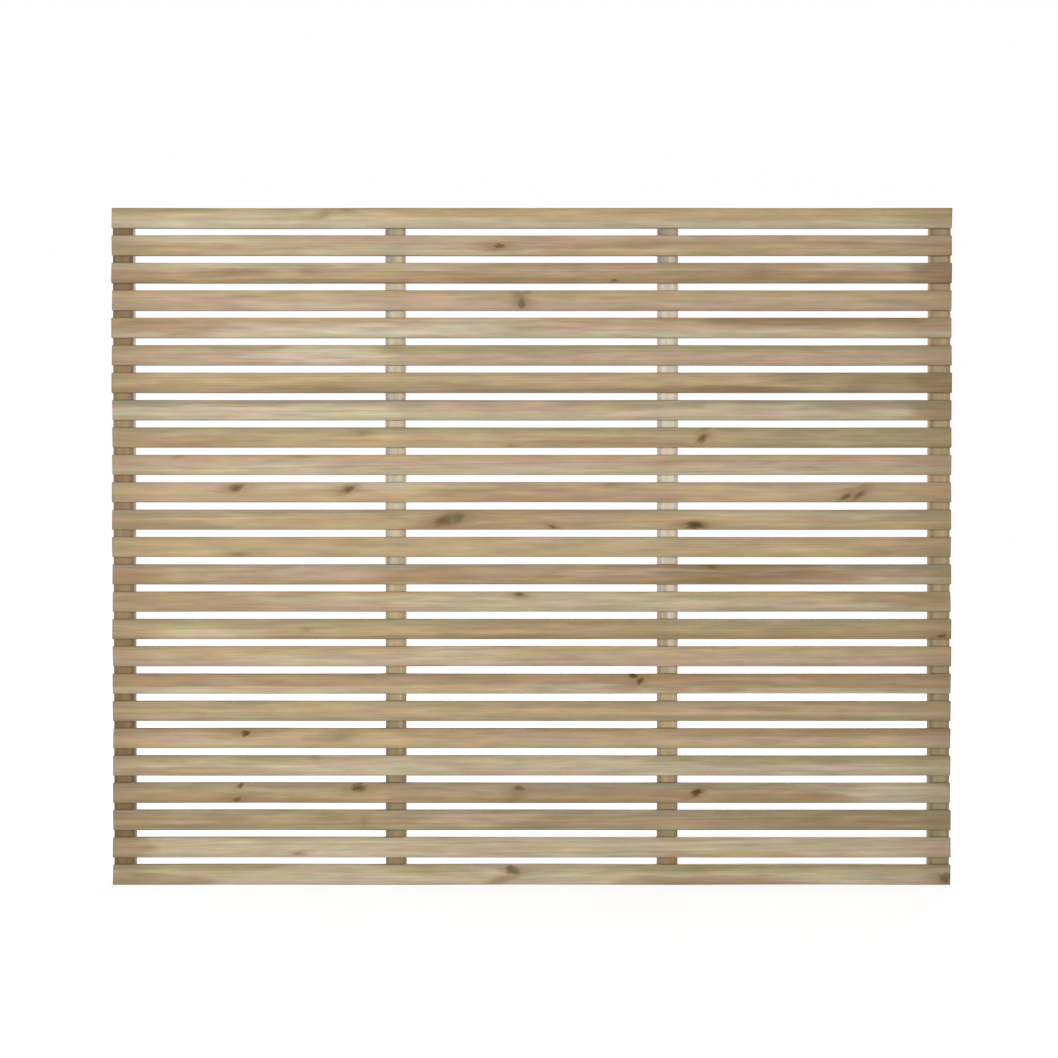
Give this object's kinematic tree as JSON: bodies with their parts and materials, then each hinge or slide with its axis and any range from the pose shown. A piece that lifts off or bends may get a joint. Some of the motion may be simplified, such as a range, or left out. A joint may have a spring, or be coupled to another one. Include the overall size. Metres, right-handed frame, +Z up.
{
  "type": "slatted fence panel",
  "caption": "Fence panel of level planed softwood slats nailed across the front of upright battens, with even gaps that let light and wind through.",
  "frame": {"origin": "bottom centre of the panel, halfway through its depth", "axes": "+X along the slats, to the right of someone who faces the front; +Z up; slats on the -Y side, battens on the +Y side"},
  "size_m": [1.828, 0.044, 1.4744],
  "materials": {
    "slat_timber": "planed pressure-treated softwood, unpainted",
    "batten_timber": "planed pressure-treated softwood, unpainted",
    "nail_steel": "dull zinc-coated"
  },
  "bodies": {
    "root": {"slat_01": "slat_timber", "slat_02": "slat_timber", "slat_03": "slat_timber", "slat_04": "slat_timber", "slat_05": "slat_timber", "slat_06": "slat_timber", "slat_07": "slat_timber", "slat_08": "slat_timber", "slat_09": "slat_timber", "slat_10": "slat_timber", "slat_11": "slat_timber", "slat_12": "slat_timber", "slat_13": "slat_timber", "slat_14": "slat_timber", "slat_15": "slat_timber", "slat_16": "slat_timber", "slat_17": "slat_timber", "slat_18": "slat_timber", "slat_19": "slat_timber", "slat_20": "slat_timber", "slat_21": "slat_timber", "slat_22": "slat_timber", "slat_23": "slat_timber", "slat_24": "slat_timber", "slat_25": "slat_timber", "left_end_batten": "batten_timber", "left_middle_batten": "batten_timber", "right_middle_batten": "batten_timber", "right_end_batten": "batten_timber", "finish_nails": "nail_steel"}
  },
  "joints": []
}
